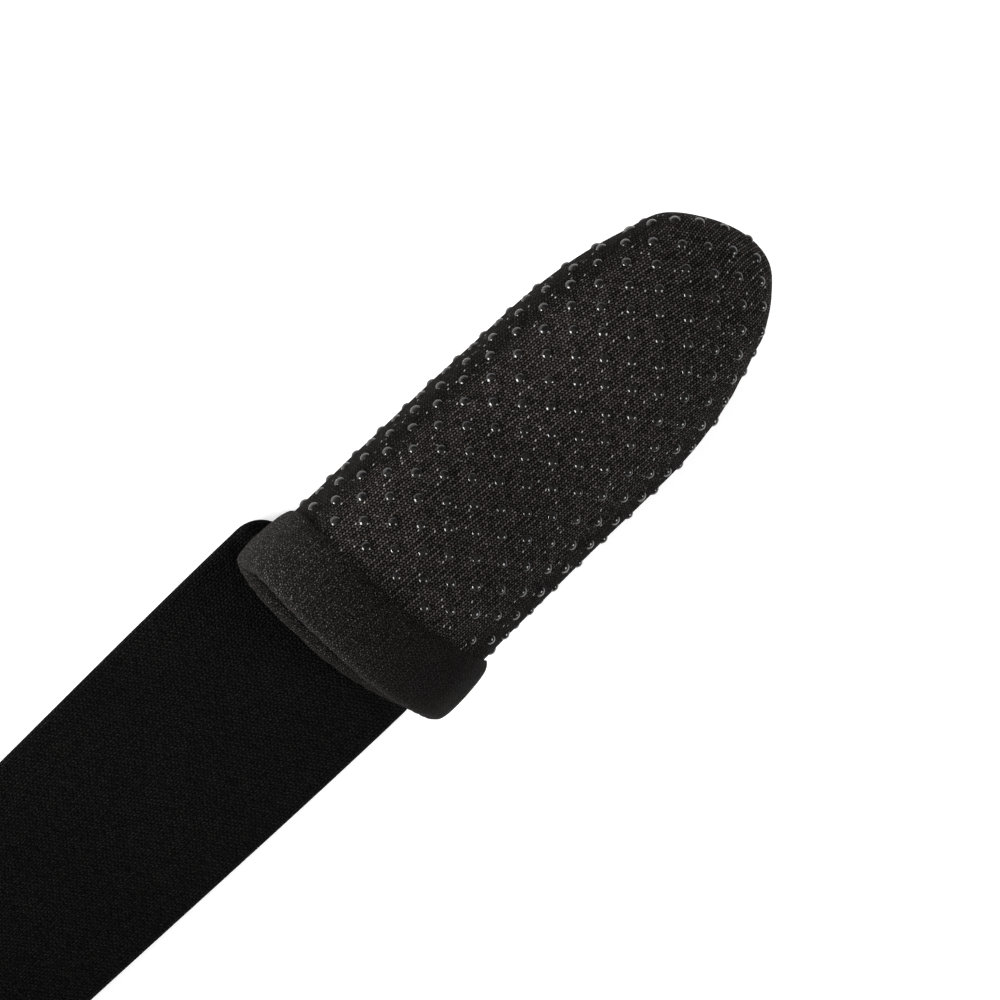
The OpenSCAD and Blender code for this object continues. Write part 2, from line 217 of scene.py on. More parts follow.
def ring_faces(rings, n, closed):
    """Quads between rings of n points, with the ring and the point that each quad starts from."""
    last = rings if closed else rings - 1
    i, k = np.meshgrid(np.arange(last), np.arange(n), indexing="ij")
    nxt, m = (i + 1) % rings, (k + 1) % n
    quads = np.stack([i * n + k, nxt * n + k, nxt * n + m, i * n + m], -1)
    return quads.reshape(-1, 4), i.ravel(), k.ravel()


def corner_uv(i, k, place):
    """One pair for each corner of each quad. place gives the pair of a ring and a point."""
    corners = ((i, k), (i + 1, k), (i + 1, k + 1), (i, k + 1))
    return np.stack([np.stack(place(ring, point), -1) for ring, point in corners], 1).reshape(-1, 2)


def closed_round(rings):
    return np.concatenate([rings, rings[:, :1]], 1)


def crisp(piece, angle):
    """Smooth faces that stay sharp where they meet at more than the angle, in degrees."""
    bpy.ops.object.select_all(action="DESELECT")
    piece.select_set(True)
    bpy.context.view_layer.objects.active = piece
    bpy.ops.object.shade_smooth_by_angle(angle=math.radians(angle))


def outside_out(piece):
    """Turns a closed mesh the right way out if its faces point inwards."""
    mesh = piece.data
    mesh.calc_loop_triangles()
    tris = np.zeros(len(mesh.loop_triangles) * 3, int)
    mesh.loop_triangles.foreach_get("vertices", tris)
    co = np.zeros(len(mesh.vertices) * 3)
    mesh.vertices.foreach_get("co", co)
    t = co.reshape(-1, 3)[tris.reshape(-1, 3)]
    if np.einsum("ij,ij->i", t[:, 0], np.cross(t[:, 1], t[:, 2])).sum() < 0:
        mesh.flip_normals()
    mesh.update()


def waves(u, v, size):
    """Low, smooth unevenness of cloth, between -1 and 1, in waves of about size."""
    k = 2 * math.pi / size
    return (
        np.sin(k * (u + 0.31 * v) + 1.3)
        + np.sin(k * (0.73 * v - 0.42 * u) * 1.37 + 0.4)
        + np.sin(k * (0.57 * u + 0.81 * v) * 1.93 + 2.6)
    ) / 3


def sleeve_rings(a):
    """Rings of the outer face from tip to mouth, then of the inner face back, and each point's d."""
    tip = TIP_LEN * (1 - cosd(90 * np.arange(1, TIP_RINGS + 1) / TIP_RINGS))
    body = TIP_LEN + (SLEEVE_END - TIP_LEN) * np.arange(1, BODY_RINGS + 1) / BODY_RINGS
    body_back, tip_back = np.arange(LINING_BODY_RINGS, 0, -1), np.arange(LINING_TIP_RINGS, 0, -1)
    inner_body = TIP_LEN + (SLEEVE_END - TIP_LEN) * body_back / LINING_BODY_RINGS
    inner_tip = KNIT_T + (TIP_LEN - KNIT_T) * (1 - cosd(90 * tip_back / LINING_TIP_RINGS))

    def slanted(*lengths):
        d = np.concatenate(lengths)[:, None]
        return d + (mouth_at(a) - FINGER_LEN) * ease(1 - (SLEEVE_END - d) / CUFF_REACH)

    d_out, d_in = slanted(tip, body), slanted(inner_body, inner_tip)
    sewn_in = SEWN_DEPTH * seam_line(d_out, a, SEWN_REACH)
    outside = wall(d_out, a) - sewn_in[..., None] * outward(d_out, a)
    return np.concatenate([outside, wall(d_in, a, KNIT_T)]), np.concatenate([d_out, d_in])


def on_flat_cloth(rings, d, a):
    """How far each point lies from the fold and down the sleeve, when the cloth lies flat."""
    run = running(gaps(closed_round(rings), 1), 1)
    half = len(a) // 2
    from_fold = np.abs(run - run[:, half:half + 1])
    d, turn = closed_round(d), np.concatenate([a, [360.0]])
    bow = DOT_BEND * np.minimum(2 * d / TIP_LEN, 1.0)
    along = np.interp(d + bow * (sind(turn) ** 2 - 0.5), LINE_D, LINE_RUN)
    cut = cut_off(d)
    u, v = from_fold + cut, along
    rounds = 4
    for _ in range(rounds):
        near = np.exp(-((v / DRAWN_REACH) ** 2))
        across = u / HALF_ROW - 1
        u = from_fold + cut + near * (DRAWN_ROUND - ROW_SPREAD * across)
        v = along + near * (DRAWN_BACK + ROW_TILT * across)
    return u, v


def knit_sleeve():
    """One closed shell, with a fan of triangles over the tip on each face."""
    n = SLEEVE_SIDES
    a = 360.0 * np.arange(n) / n
    rings, d = sleeve_rings(a)
    poles = np.array([wall(0.0, 90.0), wall(KNIT_T, 90.0, KNIT_T)])
    count = len(rings)
    quads, i, k = ring_faces(count, n, False)
    u, v = on_flat_cloth(rings, d, a)
    side = np.where(k < n // 2, 1.0, -1.0)
    uv = corner_uv(i, k, lambda ring, point: (side * u[ring, point], v[ring, point]))
    wide, deep = 0.02, 0.1
    fan_uv = [[[0.0, 0.0], [wide * step, deep], [wide * step + wide, deep]] for step in range(n)]
    fan_uv = np.array(fan_uv).reshape(-1, 2)
    pole, last = count * n, (count - 1) * n
    fans = [[pole, step, (step + 1) % n] for step in range(n)]
    fans += [[pole + 1, last + (step + 1) % n, last + step] for step in range(n)]
    points = np.concatenate([rings.reshape(-1, 3), poles])
    piece = make("knit_sleeve", points, quads.tolist() + fans, np.concatenate([uv, fan_uv, fan_uv]))
    outside_out(piece)
    return piece


def dot_places():
    """The distance behind the tip and the angle round the sleeve of each dot."""
    spots = []
    sweep, sweep_step, least_d = np.arange(61), 3.0, 0.05
    rows = int((LINE_RUN[-1] - DOT_START_ALONG) / (DOT_PITCH_ALONG / 2))
    for row in range(rows + 1):
        w = DOT_START_ALONG + row * DOT_PITCH_ALONG / 2
        near = math.exp(-((w / DRAWN_REACH) ** 2))
        shift = (row % 2) * DOT_PITCH_ROUND / 2 + DOT_START_ROUND
        for side in (1, -1):
            for i in range(-1, math.ceil(2 * HALF_ROW / DOT_PITCH_ROUND) + 2):
                u = i * DOT_PITCH_ROUND + side * shift
                across = u / HALF_ROW - 1
                row_d = np.interp(w - near * (DRAWN_BACK + ROW_TILT * across), LINE_RUN, LINE_D)
                lengths = running(gaps(wall(row_d, 180 - side * sweep_step * sweep)))
                run = u - cut_off(row_d) - near * (DRAWN_ROUND - ROW_SPREAD * across)
                a = 180 - side * sweep_step * float(np.interp(run, lengths, sweep))
                row_bow = DOT_BEND * min(2 * row_d / TIP_LEN, 1.0) * (sind(a) ** 2 - 0.5)
                d = max(row_d - row_bow, least_d)
                spare = SEAM_CLEAR if d < FOLD_CORNER else 0.0
                on_cloth = u > 0 and spare <= run <= lengths[-1] - SEAM_CLEAR
                if on_cloth and mouth_at(a) - d > cuff_top(a) + DOT_D / 2 + DOT_CLEAR:
                    spots.append((d, a))
    return np.array(spots)


def grip_dot():
    """One low dome, raised from a disc ring by ring, with a skirt that sinks into the knit."""
    ball = (DOT_D**2 / 4 + DOT_H**2) / (2 * DOT_H)
    edge = math.degrees(math.asin(DOT_D / 2 / ball))
    rings = [(DOT_D / 2 + SKIRT_FLARE, -SKIRT_DEPTH), (DOT_D / 2, 0.0)]
    dome_shares = (0.74, 0.48, 0.24)
    for share in dome_shares:
        tilt = edge * share
        rings.append((ball * sind(tilt), DOT_H - ball * (1 - cosd(tilt))))
    bpy.ops.object.select_all(action="DESELECT")
    bpy.ops.mesh.primitive_circle_add(vertices=DOT_SIDES, radius=rings[0][0] * MM, fill_type="NGON")
    dot = bpy.context.object
    bpy.ops.object.mode_set(mode="EDIT")
    bpy.ops.mesh.select_all(action="SELECT")
    bpy.ops.transform.translate(value=(0, 0, rings[0][1] * MM))
    for (r, z), (next_r, next_z) in zip(rings, rings[1:]):
        lift, narrower = (next_z - z) * MM, next_r / r
        bpy.ops.mesh.extrude_region_move(TRANSFORM_OT_translate={"value": (0, 0, lift)})
        bpy.ops.transform.resize(value=(narrower, narrower, 1))
    bpy.ops.mesh.poke(offset=(DOT_H - rings[-1][1]) * MM)
    bpy.ops.mesh.select_all(action="SELECT")
    bpy.ops.mesh.normals_make_consistent(inside=False)
    bpy.ops.object.mode_set(mode="OBJECT")
    return dot


def silicone_dots():
    """A copy of the dot at each of its places, upright on the wall and all a little unequal."""
    dot = grip_dot()
    spots = dot_places()
    size_spread, height_spread = 0.04, 0.05
    places, normals = wall(spots[:, 0], spots[:, 1]), outward(spots[:, 0], spots[:, 1])
    copies = []
    for p, up in zip(places, normals):
        across = np.cross(up, [0.0, 1.0, 0.0])
        across /= np.linalg.norm(across)
        size = 1 + size_spread * rng.standard_normal()
        height = 1 + height_spread * rng.standard_normal()
        ways = np.stack([size * np.cross(across, up), size * across, size * height * up, p * MM], 1)
        copy = bpy.data.objects.new("silicone_dots", dot.data.copy())
        copy.data.transform(Matrix([*ways.tolist(), [0, 0, 0, 1]]))
        bpy.context.scene.collection.objects.link(copy)
        copies.append(copy)
    bpy.data.objects.remove(dot)
    bpy.ops.object.select_all(action="DESELECT")
    for copy in copies:
        copy.select_set(True)
    bpy.context.view_layer.objects.active = copies[0]
    bpy.ops.object.join()
    piece = copies[0]
    piece.data.name = "silicone_dots"
    crisp(piece, angle=50)
    return piece


def rounded(profile, times):
    """Cuts the corners of a closed outline, over and over."""
    for _ in range(times):
        nxt = np.roll(profile, -1, 0)
        profile = np.stack([0.75 * profile + 0.25 * nxt, 0.25 * profile + 0.75 * nxt], 1).reshape(-1, 2)
    return profile


def cuff_profile(a):
    """Outline of the cuff at one angle: distance from the mouth, and height above the sleeve's wall."""
    degrees_a_step = 2.2
    edge, along = CUFF_EDGE, a / degrees_a_step
    top = cuff_top(a) + CUFF_WAVE * waves(along, 0.0, size=9.0)
    top = top + CUFF_RIPPLE * waves(along, 5.0, size=2.7)
    lining = LINING_SHARE * top
    out = STITCH_GAP + CUFF_T + CUFF_SWELL * waves(along, 0.0, size=6.0)
    full = out + CUFF_BULGE * max(cosd(a), 0) ** 3
    knit_in = -KNIT_T - STITCH_GAP - SEAM_RIDGE * float(seam_line(FINGER_LEN, a, SEAM_REACH))
    within = knit_in - CUFF_T
    low = MOUTH_WAVE * waves(along, 2.0, size=4.3)
    lining_side = [
        [FOLD_T - STITCH_GAP, knit_in],
        [lining - edge, knit_in],
        [lining, within + CUFF_T / 2],
        [lining - edge, within],
        [lining / 2, within],
        [edge * 3, within]]
    turned_edge = [
        [edge + low, within + edge],
        [low, within + CUFF_T],
        [low, (within + out) / 2],
        [low, out - CUFF_T],
        [edge + low, out - edge]]
    outer_side = [
        [edge * 3, full - edge / 2],
        [top * 0.3, full],
        [top * 0.55, full * 0.96],
        [top * 0.8, full * 0.8],
        [top - 2 * edge, full * 0.6],
        [top, STITCH_GAP + CUFF_T / 5],
        [top - edge, STITCH_GAP],
        [top * 0.5, STITCH_GAP],
        [FOLD_T - STITCH_GAP, STITCH_GAP]]
    return rounded(np.array(lining_side + turned_edge + outer_side), 2)


def cuff_band():
    slices = []
    for a in 360.0 * np.arange(CUFF_SLICES) / CUFF_SLICES:
        profile = cuff_profile(a)
        d = mouth_at(a) - profile[:, 0]
        t = wall(d, a + 1) - wall(d, a - 1)
        t[:, 1] = 0
        t /= np.linalg.norm(t, axis=1, keepdims=True)
        normal = np.stack([t[:, 2], 0 * d, -t[:, 0]], -1)
        slices.append(wall(d, a) + profile[:, 1:] * normal)
    rings = np.array(slices)
    quads, i, k = ring_faces(CUFF_SLICES, rings.shape[1], True)
    run = running(gaps(np.concatenate([rings, rings[:1]]), 0).mean(1))
    depth = running(gaps(closed_round(rings), 1).mean(0))
    uv = corner_uv(i, k, lambda ring, point: (run[ring], depth[point]))
    piece = make("cuff_band", rings.reshape(-1, 3), quads, uv)
    outside_out(piece)
    return piece


# Flat strips: a line gives the middle of the inner face and the way through the thickness
def corner_in(s, r):
    return np.where(s >= r, 0.0, r - np.sqrt(np.maximum(r * r - (r - np.minimum(s, r)) ** 2, 0.0)))


def strip_steps(length, corner):
    bend = corner * (1 - cosd(90 / STRIP_BEND_STEPS * np.arange(1, STRIP_BEND_STEPS + 1)))
    count = max(3, int((length - 2 * corner) / STRIP_STEP))
    middle = np.linspace(corner, length - corner, count)[1:-1]
    steps = np.concatenate([[0.0], bend, middle, length - bend[::-1], [length]])
    steps[0], steps[-1] = STRIP_TRIM, length - STRIP_TRIM
    return steps


def strip_section(half, thin):
    """Places across and through a strip, round its flat faces and its rounded edges."""
    least_reach, crowding = 0.02, 0.9
    reach = max(half - thin / 2, least_reach)
    x = reach * np.linspace(-1, 1, STRIP_FLAT_POINTS)
    x = reach * np.sign(x) * np.abs(x / reach) ** crowding
    b = np.linspace(-90, 90, STRIP_EDGE_POINTS + 2)[1:-1]
    edge_x, edge_w = reach + thin / 2 * cosd(b), thin / 2 * (1 + sind(b))
    section_x = np.concatenate([x, edge_x, x[::-1], -edge_x])
    section_w = np.concatenate([0 * x, edge_w, 0 * x + thin, edge_w[::-1]])
    return section_x, section_w


def strip(name, line, across, length, width, t, corner, narrowing=None, press=None):
    """A strip of cloth with rounded corners. press gives how far its faces are pushed in."""
    s = strip_steps(length, corner)
    pos, through = line(s)
    across = np.array(across, float)
    end = np.minimum(s, length - s)
    half = width / 2 - corner_in(end, corner) - (narrowing(s) if narrowing else 0.0)
    end_thinning = 1.4
    thin = t - end_thinning * corner_in(end, t / 2)
    rings = []
    for i in range(len(s)):
        x, w = strip_section(half[i], thin[i])
        if press is not None:
            w = w + press(s[i], x) * (1 - 2 * w / thin[i])
        rings.append(pos[i] + x[:, None] * across + (w + (t - thin[i]) / 2)[:, None] * through[i])
    rings = np.array(rings)
    count, m = rings.shape[:2]
    quads, i, k = ring_faces(count, m, False)
    round_run = running(gaps(closed_round(rings), 1)[count // 2])
    down_run = np.concatenate([s, [length]])
    uv = corner_uv(i, k, lambda ring, point: (round_run[point], down_run[ring]))
    end_uv = np.stack([round_run[:m], 0 * round_run[:m]], -1)
    ends = [list(range(m)), [(count - 1) * m + k for k in range(m)][::-1]]
    uvs = np.concatenate([uv, end_uv, end_uv])
    piece = make(name, rings.reshape(-1, 3), quads.tolist() + ends, uvs)
    outside_out(piece)
    return piece


def dip(rows_at):
    """Groove that rows of stitches across a strip press into both faces."""
    def press(s, x):
        return sum(ROW_DIP_DEPTH * math.exp(-(((s - r) / ROW_DIP_WIDTH) ** 2)) for r in rows_at) + 0 * x
    return press


STRAP_END_Y = MOUTH_Y + STRAP_LAP
STRAP_LEN = STRAP_END_Y - BAND_Y - TAPE_MARGIN
STRAP_ACROSS, BAND_ACROSS = (1, 0, 0), (0, -1, 0)


def strap_line(s):
    s = np.atleast_1d(s)
    pos = np.stack([0 * s, STRAP_END_Y - s, 0 * s], -1)
    return pos, np.broadcast_to([0.0, 0.0, 1.0], pos.shape)


# The closed loop of the wrist band, seen along the arm
FLAT = LOOP_W - LOOP_INSIDE_H - 2 * BAND_T
SIDE_R = LOOP_INSIDE_H / 2
SIDE_LEN = SIDE_R * (math.pi - LOOP_DOME)
TOP_R = SIDE_R + FLAT / (2 * math.sin(LOOP_DOME))
TOP_Z = SIDE_R * (1 + math.cos(LOOP_DOME)) - TOP_R * math.cos(LOOP_DOME)
TOP_LEN = TOP_R * 2 * LOOP_DOME
LOOP_LEN = FLAT + 2 * SIDE_LEN + TOP_LEN
LAP_START = FLAT / 2 + SIDE_LEN + TOP_LEN / 2 - LAP_LEN / 2
LAP_END = LOOP_LEN + LAP_START + LAP_LEN
LAP_LIFT = BAND_T + LOOP_TAPE_T + HOOK_TAPE_T + 3 * STITCH_GAP
CLIMB_SPARE = 2
CLIMB_LEN = min(SIDE_LEN, LAP_START - FLAT / 2 - CLIMB_SPARE)
HOOK_LEN = LAP_LEN - 2 * TAPE_MARGIN


def loop_at(s):
    t = np.mod(s, LOOP_LEN) - FLAT / 2
    u, v, w = t - SIDE_LEN, t - SIDE_LEN - TOP_LEN, t - 2 * SIDE_LEN - TOP_LEN

    def arc(middle, r, start, run):
        b = start + run / r
        return np.stack([middle[0] + r * np.cos(b), middle[1] + r * np.sin(b)], -1)

    right = arc((FLAT / 2, SIDE_R), SIDE_R, -math.pi / 2, t)
    top = arc((0, TOP_Z), TOP_R, math.pi / 2 - LOOP_DOME, u)
    left = arc((-FLAT / 2, SIDE_R), SIDE_R, math.pi / 2 + LOOP_DOME, v)
    start = np.stack([t + FLAT / 2, 0 * t], -1)
    close = np.stack([w - FLAT / 2, 0 * w], -1)
    choice = [(t < 0)[..., None], (u < 0)[..., None], (v < 0)[..., None], (w < 0)[..., None]]
    return np.select(choice, [start, right, top, left], close)


def loop_out(s):
    nudge = 0.1
    t = loop_at(s + nudge) - loop_at(s - nudge)
    t /= np.linalg.norm(t, axis=-1, keepdims=True)
    return np.stack([t[..., 1], -t[..., 0]], -1)


def band_at(s, off):
    lift = LAP_LIFT * ease((s - LOOP_LEN - FLAT / 2) / CLIMB_LEN)
    return loop_at(s) + loop_out(s) * (off + lift)[..., None]


# The band's outer edges, from which it is shifted to the middle of the part
BAND_SAMPLES = 63
BAND_GRID = LAP_START + (LAP_END - LAP_START) * np.arange(1, BAND_SAMPLES) / BAND_SAMPLES
UNDER_TAPE = np.abs(BAND_GRID - LAP_START - TAPE_MARGIN - LOOP_TAPE_LEN / 2) < LOOP_TAPE_LEN / 2
BAND_EDGE = band_at(BAND_GRID, BAND_T + UNDER_TAPE * (STITCH_GAP + LOOP_TAPE_T))[:, 0]
BAND_SHIFT = -(BAND_EDGE.max() + BAND_EDGE.min()) / 2


def band_line(start, off):
    def line(s):
        s = np.atleast_1d(s) + start
        p, n = band_at(s, 0 * s + off), loop_out(s)
        y = np.full(len(s), BAND_Y + BAND_W / 2)
        pos = np.stack([p[:, 0] + BAND_SHIFT, y, p[:, 1] + STRAP_T + STITCH_GAP + BAND_T], -1)
        return pos, np.stack([n[:, 0], 0 * s, n[:, 1]], -1)

    return line


# Stitches: short arched lengths of thread laid along a path on the cloth
def stitch_run(path):
    """Evenly spaced pairs of places along a path, from hole to hole."""
    path = np.asarray(path, float)
    run = running(gaps(path))
    count = max(1, int(round(run[-1] / STITCH_PITCH)))
    at = np.linspace(0, run[-1], count + 1)
    spots = np.stack([np.interp(at, run, path[:, c]) for c in range(path.shape[1])], -1)
    return list(zip(spots[:-1], spots[1:]))


def stitches(name, rows):
    """rows holds (point, point, normal) for each stitch, in millimetres."""
    n = THREAD_SIDES
    spin = 360.0 * np.arange(n) / n
    shares = (0.06, 0.2, 0.4, 0.6, 0.8, 0.94)
    arch_rise, arch_sink, end_fatness = 1.5, 0.85, 0.72
    rings = len(shares)
    quads, _, _ = ring_faces(rings, n, False)
    caps = [list(range(n)), [(rings - 1) * n + k for k in range(n)][::-1]]
    points, faces = [], []
    for a, b, up in rows:
        ahead = (b - a) / np.linalg.norm(b - a)
        side = np.cross(ahead, up)
        side /= np.linalg.norm(side)
        up = np.cross(side, ahead)
        start = len(points) * n
        for share in shares:
            bow = math.sin(math.pi * share)
            arch = THREAD_R * (arch_rise * bow - arch_sink)
            fat = THREAD_R * (end_fatness + (1 - end_fatness) * bow)
            middle = a + (b - a) * share + up * arch
            points.append(middle + fat * (cosd(spin)[:, None] * side + sind(spin)[:, None] * up))
        faces += [[start + v for v in f] for f in quads.tolist() + caps]
    piece = make(name, np.concatenate(points), faces)
    outside_out(piece)
    return piece


def on_strip(line, across, t, side, path):
    """Stitches along a path of (distance along, distance across), at height t in a strip's
    thickness. side is 1 on the outer face and -1 on the inner one."""
    rows = []
    across = np.array(across, float)
    for hole, next_hole in stitch_run(path):
        ends = []
        for s, u in (hole, next_hole):
            pos, through = line(np.array([s]))
            ends.append(pos[0] + across * u + through[0] * t)
        rows.append((ends[0], ends[1], through[0] * side))
    return rows


def box_path(s0, s1, half):
    return [(s0, -half), (s0, half), (s1, half), (s1, -half), (s0, -half)]


# Finishes
def new_material(name):
    material = bpy.data.materials.new(name)
    material.use_nodes = True
    return material, material.node_tree, material.node_tree.nodes["Principled BSDF"]


def new_group(name, inputs, outputs):
    group = bpy.data.node_groups.new(name, "ShaderNodeTree")
    for label, kind, default in inputs:
        socket = group.interface.new_socket(name=label, in_out="INPUT", socket_type=kind)
        if default is not None:
            socket.default_value = default
    for label in outputs:
        group.interface.new_socket(name=label, in_out="OUTPUT", socket_type="NodeSocketFloat")
    return group, group.nodes.new("NodeGroupInput"), group.nodes.new("NodeGroupOutput")


def feed(tree, socket, value):
    """A socket gets a plain number or colour, or a link from another socket."""
    if isinstance(value, (int, float)):
        socket.default_value = value
    elif isinstance(value, tuple):
        socket.default_value = (*value, 1.0)
    else:
        tree.links.new(value, socket)


def calc(tree, kind, *values):
    node = tree.nodes.new("ShaderNodeMath")
    node.operation = kind
    for socket, value in zip(node.inputs, values):
        feed(tree, socket, value)
    return node.outputs[0]


def between_0_and_1(tree, value):
    return calc(tree, "MINIMUM", calc(tree, "MAXIMUM", value, 0.0), 1.0)


def split(tree, vector):
    node = tree.nodes.new("ShaderNodeSeparateXYZ")
    tree.links.new(vector, node.inputs[0])
    return node.outputs


def noise_at(tree, place, scale, detail=2.0, roughness=0.5):
    node = tree.nodes.new("ShaderNodeTexNoise")
    tree.links.new(place, node.inputs["Vector"])
    for label, value in (("Scale", scale), ("Detail", detail), ("Roughness", roughness)):
        feed(tree, node.inputs[label], value)
    return node.outputs["Fac"]


def faded(tree, value, start, end, least=0.0, kind="LINEAR"):
    """Goes from least at start to 1 at end."""
    node = tree.nodes.new("ShaderNodeMapRange")
    node.interpolation_type = kind
    node.inputs["From Min"].default_value, node.inputs["From Max"].default_value = start, end
    node.inputs["To Min"].default_value, node.inputs["To Max"].default_value = least, 1.0
    tree.links.new(value, node.inputs["Value"])
    return node.outputs["Result"]


def stitch_group():
    """Columns of small V stitches. Flat is the cloth's own place in millimetres. Face is painted light:
    each leg is painted lit along its middle and shaded at its edges, and one leg of each V is painted
    dimmer than the other, as the leg that catches less light."""
    group, given, out = new_group(
        "knit_stitches",
        [("Flat", "NodeSocketVector", None), ("Wale", "NodeSocketFloat", 0.625),
         ("Course", "NodeSocketFloat", 0.407), ("Lean", "NodeSocketFloat", 0.045),
         ("Dim Leg", "NodeSocketFloat", 0.66)],
        ["Height", "Face", "Chance"])
    drift_reach, leg_step, leg_slope, leg_fineness, leg_rounding = 0.22, 0.3, 0.24, 4.5, 0.8
    drift_scale, drift_detail, leg_roundness_in_height = 0.6, 3.0, 0.6
    flat = split(group, given.outputs["Flat"])
    noise = noise_at(group, given.outputs["Flat"], drift_scale, drift_detail)
    drift = calc(group, "MULTIPLY", calc(group, "SUBTRACT", noise, 0.5), drift_reach)
    leaned = calc(group, "MULTIPLY_ADD", flat["Y"], given.outputs["Lean"], flat["X"])
    x = calc(group, "DIVIDE", calc(group, "ADD", leaned, drift), given.outputs["Wale"])
    column = calc(group, "FLOOR", x)
    fx = calc(group, "FRACT", x)
    right_leg = calc(group, "GREATER_THAN", fx, 0.5)
    y = calc(group, "DIVIDE", calc(group, "ADD", flat["Y"], drift), given.outputs["Course"])
    y = calc(group, "MULTIPLY_ADD", right_leg, leg_step, y)
    fy = calc(group, "SUBTRACT", calc(group, "FRACT", y), 0.5)
    slope = calc(group, "MULTIPLY", calc(group, "MULTIPLY_ADD", right_leg, 2.0, -1.0), fy)
    middle = calc(group, "MULTIPLY_ADD", right_leg, 0.5, 0.25)
    off = calc(group, "MULTIPLY_ADD", slope, leg_slope, calc(group, "SUBTRACT", fx, middle))
    off = calc(group, "MULTIPLY", off, leg_fineness)
    across = calc(group, "MAXIMUM", calc(group, "SUBTRACT", 1.0, calc(group, "MULTIPLY", off, off)), 0.0)
    long_way = calc(group, "MULTIPLY", fy, 2.0)
    long_way = calc(group, "SUBTRACT", 1.0, calc(group, "MULTIPLY", long_way, long_way))
    face = calc(group, "MULTIPLY", across, calc(group, "POWER", long_way, leg_rounding))
    height = calc(group, "MULTIPLY", across, 1 - leg_roundness_in_height)
    height = calc(group, "MULTIPLY_ADD", face, leg_roundness_in_height, height)
    cell = group.nodes.new("ShaderNodeCombineXYZ")
    feed(group, cell.inputs[0], calc(group, "MULTIPLY_ADD", right_leg, 0.5, column))
    feed(group, cell.inputs[1], calc(group, "FLOOR", y))
    chance = group.nodes.new("ShaderNodeTexWhiteNoise")
    chance.noise_dimensions = "3D"
    feed(group, chance.inputs["Vector"], cell.outputs[0])
    # Painted shade: one leg of each V is dimmed to Dim Leg of the other's light
    dim = calc(group, "SUBTRACT", given.outputs["Dim Leg"], 1.0)
    dim = calc(group, "MULTIPLY_ADD", right_leg, dim, 1.0)
    feed(group, out.inputs["Height"], height)
    feed(group, out.inputs["Face"], calc(group, "MULTIPLY", face, dim))
    feed(group, out.inputs["Chance"], chance.outputs["Value"])
    return group


def grain_group():
    """Fine fuzz of spun cloth and flecks of lint, from its place in millimetres."""
    group, given, out = new_group(
        "cloth_grain",
        [("Place", "NodeSocketVector", None), ("Size", "NodeSocketFloat", 0.3)],
        ["Height", "Tone", "Fleck"])
    grain_contrast, grain_from, patch_spread, patch_least = 3.4, -1.3, 0.7, 0.65
    broad_scale, lint_scale, lint_from, lint_sharpness = 0.09, 6.5, 0.57, 7.0
    place = given.outputs["Place"]
    fine_scale = calc(group, "DIVIDE", 1.0, given.outputs["Size"])
    fine = noise_at(group, place, fine_scale, detail=4.0, roughness=0.65)
    broad = noise_at(group, place, broad_scale)
    lint = noise_at(group, place, lint_scale, detail=1.0)
    grains = between_0_and_1(group, calc(group, "MULTIPLY_ADD", fine, grain_contrast, grain_from))
    patches = calc(group, "MULTIPLY_ADD", broad, patch_spread, patch_least)
    fleck = calc(group, "MULTIPLY", calc(group, "SUBTRACT", lint, lint_from), lint_sharpness)
    feed(group, out.inputs["Height"], fine)
    feed(group, out.inputs["Tone"], calc(group, "MULTIPLY", grains, patches))
    feed(group, out.inputs["Fleck"], between_0_and_1(group, fleck))
    return group


KNIT_STITCHES = stitch_group()
CLOTH_GRAIN = grain_group()


def use_group(tree, group, place, **values):
    """A group in a material. Its first input is the place and values name the others."""
    node = tree.nodes.new("ShaderNodeGroup")
    node.node_tree = group
    tree.links.new(place, node.inputs[0])
    for label, value in values.items():
        node.inputs[label].default_value = value
    return node.outputs


def millimetres(tree):
    place = tree.nodes.new("ShaderNodeTexCoord")
    scaled = tree.nodes.new("ShaderNodeVectorMath")
    scaled.operation = "SCALE"
    scaled.inputs["Scale"].default_value = 1 / MM
    tree.links.new(place.outputs["Object"], scaled.inputs[0])
    return scaled.outputs[0]


def flat_cloth(tree):
    uv = tree.nodes.new("ShaderNodeUVMap")
    uv.uv_map = "cloth"
    return uv.outputs["UV"]


def mix_colour(tree, share, dark, light, blend="MIX"):
    node = tree.nodes.new("ShaderNodeMix")
    node.data_type = "RGBA"
    node.blend_type = blend
    feed(tree, node.inputs[0], share)
    feed(tree, node.inputs[6], dark)
    feed(tree, node.inputs[7], light)
    return node.outputs[2]


def bump(tree, height, depth, under=None):
    """Raises a surface by up to depth in millimetres, on top of the relief under it."""
    node = tree.nodes.new("ShaderNodeBump")
    node.inputs["Strength"].default_value = 1.0
    node.inputs["Distance"].default_value = depth * MM
    tree.links.new(height, node.inputs["Height"])
    if under is not None:
        tree.links.new(under, node.inputs["Normal"])
    return node.outputs[0]


def grey(level):
    return (level, level, level)


